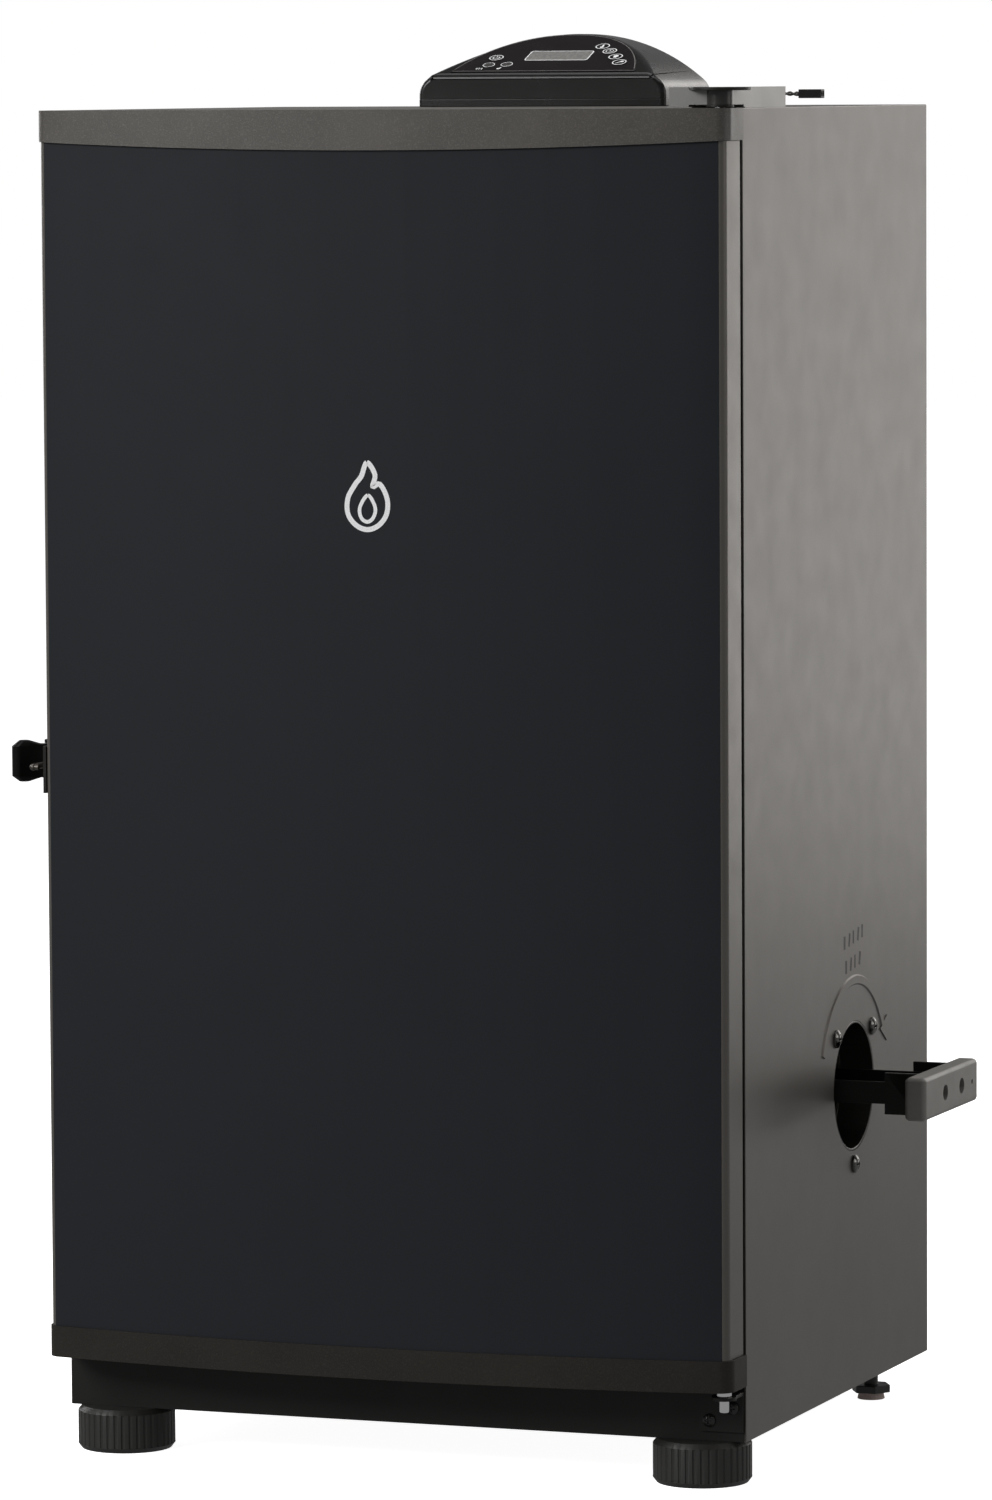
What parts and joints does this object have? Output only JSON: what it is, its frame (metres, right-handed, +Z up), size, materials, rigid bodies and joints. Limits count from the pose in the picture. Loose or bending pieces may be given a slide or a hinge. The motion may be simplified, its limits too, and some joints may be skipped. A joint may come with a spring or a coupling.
{
  "type": "electric smoker",
  "caption": "Insulated cabinet smoker with a bowed side-hinged door, top controller, side chip loader, inner racks and a rear grease tray.",
  "frame": {"origin": "on the floor, under the middle of the outline that the smoker covers with its handles and tray in place", "axes": "+Z up; the door faces -Y; the latch is on -X and the hinges and chip loader on +X"},
  "size_m": [0.529, 0.52, 0.8455],
  "materials": {
    "cabinet_paint": "satin dark grey powder coat",
    "black_paint": "satin black",
    "liner_steel": "thin stainless sheet",
    "wool": "glass wool",
    "chrome": "bright chrome plate",
    "chip_steel": "sheet steel, heat-tinted",
    "element_steel": "dark oxidised tube",
    "black_plastic": "textured black plastic",
    "foot_plastic": "ribbed black plastic",
    "gloss_black": "glossy black",
    "window": "clear display window",
    "board": "green circuit board",
    "lead": "dark insulated wire",
    "door_paint": "matte blue-black",
    "cap_plastic": "fine-textured dark grey plastic",
    "gasket_rubber": "soft black seal",
    "bushing_plastic": "natural nylon",
    "grip_plastic": "satin dark grey plastic",
    "leveller": "grey plastic pad on a steel stem"
  },
  "bodies": {
    "cabinet": {"outer_shell": "cabinet_paint", "rear_panel": "cabinet_paint", "base_panel": "black_paint", "front_frame": "black_paint", "inner_liner": "liner_steel", "insulation_pads": "wool", "rack_supports": "chrome", "drip_pan": "liner_steel", "water_bowl": "liner_steel", "chip_housing": "chip_steel", "chip_pan": "chip_steel", "heating_element": "element_steel", "chamber_sensors": "chrome", "loader_sleeve": "black_paint", "cabinet_screws": "chrome", "latch_base": "black_plastic", "top_hinge_bracket": "cabinet_paint", "bottom_hinge_bracket": "black_paint", "hinge_pins": "chrome", "front_feet": "foot_plastic", "controller_base": "black_plastic", "controller_housing": "gloss_black", "controller_overlay": "gloss_black", "display_windows": "window", "circuit_board": "board", "damper_seat": "black_plastic", "grease_tray_rails": "cabinet_paint", "rear_access_cover": "cabinet_paint", "cord_gland": "black_plastic", "lead_grommet": "black_plastic", "controller_lead": "lead", "lead_connector": "black_plastic"},
    "door": {"door_front_panel": "door_paint", "door_side_trims": "cabinet_paint", "door_top_cap": "cap_plastic", "door_bottom_cap": "cap_plastic", "door_inner_panel": "liner_steel", "door_insulation": "wool", "door_gasket": "gasket_rubber", "door_strike": "black_paint", "hinge_bushings": "bushing_plastic"},
    "latch": {"latch_lever": "black_plastic", "latch_hook": "chrome"},
    "rack_1": {"smoking_rack_1": "chrome"},
    "rack_2": {"smoking_rack_2": "chrome"},
    "rack_3": {"smoking_rack_3": "chrome"},
    "rack_4": {"smoking_rack_4": "chrome"},
    "loader_drum": {"loader_seal_disc": "liner_steel"},
    "loader": {"loader_tray": "chip_steel", "loader_grip": "grip_plastic", "grip_screws": "chrome"},
    "damper": {"damper_disc": "cabinet_paint"},
    "key_power": {"button_power": "gloss_black"},
    "key_temperature": {"button_temperature": "gloss_black"},
    "key_time": {"button_time": "gloss_black"},
    "key_light": {"button_light": "gloss_black"},
    "key_probe": {"button_probe": "gloss_black"},
    "tray_rear": {"grease_tray": "liner_steel"},
    "foot_left": {"rear_foot_left": "leveller"},
    "foot_right": {"rear_foot_right": "leveller"}
  },
  "joints": [
    {"name": "door_hinge", "type": "hinge", "parent": "cabinet", "child": "door", "pos_m": [0.1955, -0.229, 0.4], "axis": [0, 0, 1], "range_deg": [0, 130]},
    {"name": "latch_pivot", "type": "hinge", "parent": "cabinet", "child": "latch", "pos_m": [-0.2405, -0.186, 0.412], "axis": [0, 0, -1], "range_deg": [0, 60]},
    {"name": "rack_1_slide", "type": "slide", "parent": "cabinet", "child": "rack_1", "axis": [0, -1, 0], "range_m": [0, 0.012]},
    {"name": "rack_2_slide", "type": "slide", "parent": "cabinet", "child": "rack_2", "axis": [0, -1, 0], "range_m": [0, 0.012]},
    {"name": "rack_3_slide", "type": "slide", "parent": "cabinet", "child": "rack_3", "axis": [0, -1, 0], "range_m": [0, 0.012]},
    {"name": "rack_4_slide", "type": "slide", "parent": "cabinet", "child": "rack_4", "axis": [0, -1, 0], "range_m": [0, 0.012]},
    {"name": "loader_turn", "type": "hinge", "parent": "cabinet", "child": "loader_drum", "pos_m": [0.1565, -0.005, 0.2105], "axis": [-1, 0, 0], "range_deg": [0, 180]},
    {"name": "loader_slide", "type": "slide", "parent": "loader_drum", "child": "loader", "axis": [1, 0, 0], "range_m": [-0.0235, 0.15]},
    {"name": "damper_turn", "type": "hinge", "parent": "cabinet", "child": "damper", "pos_m": [-0.2275, 0.06, 0.74], "axis": [-1, 0, 0], "range_deg": [0, 45]},
    {"name": "power_press", "type": "slide", "parent": "cabinet", "child": "key_power", "axis": [0, 0.3502, -0.9367], "range_m": [0, 0.0006], "stiffness_N_per_m": 600, "springref_m": -0.0005},
    {"name": "temperature_press", "type": "slide", "parent": "cabinet", "child": "key_temperature", "axis": [0, 0.3502, -0.9367], "range_m": [0, 0.0006], "stiffness_N_per_m": 600, "springref_m": -0.0005},
    {"name": "time_press", "type": "slide", "parent": "cabinet", "child": "key_time", "axis": [0, 0.3502, -0.9367], "range_m": [0, 0.0006], "stiffness_N_per_m": 600, "springref_m": -0.0005},
    {"name": "light_press", "type": "slide", "parent": "cabinet", "child": "key_light", "axis": [0, 0.3502, -0.9367], "range_m": [0, 0.0006], "stiffness_N_per_m": 600, "springref_m": -0.0005},
    {"name": "probe_press", "type": "slide", "parent": "cabinet", "child": "key_probe", "axis": [0, 0.3502, -0.9367], "range_m": [0, 0.0006], "stiffness_N_per_m": 600, "springref_m": -0.0005},
    {"name": "grease_tray_slide", "type": "slide", "parent": "cabinet", "child": "tray_rear", "axis": [0, 1, 0], "range_m": [0, 0.08]},
    {"name": "rear_foot_left_turn", "type": "hinge", "parent": "cabinet", "child": "foot_left", "pos_m": [-0.1995, 0.109, 0.02], "axis": [0, 0, 1], "range_deg": [-180, 180]},
    {"name": "rear_foot_right_turn", "type": "hinge", "parent": "cabinet", "child": "foot_right", "pos_m": [0.1765, 0.109, 0.02], "axis": [0, 0, 1], "range_deg": [-180, 180]}
  ]
}
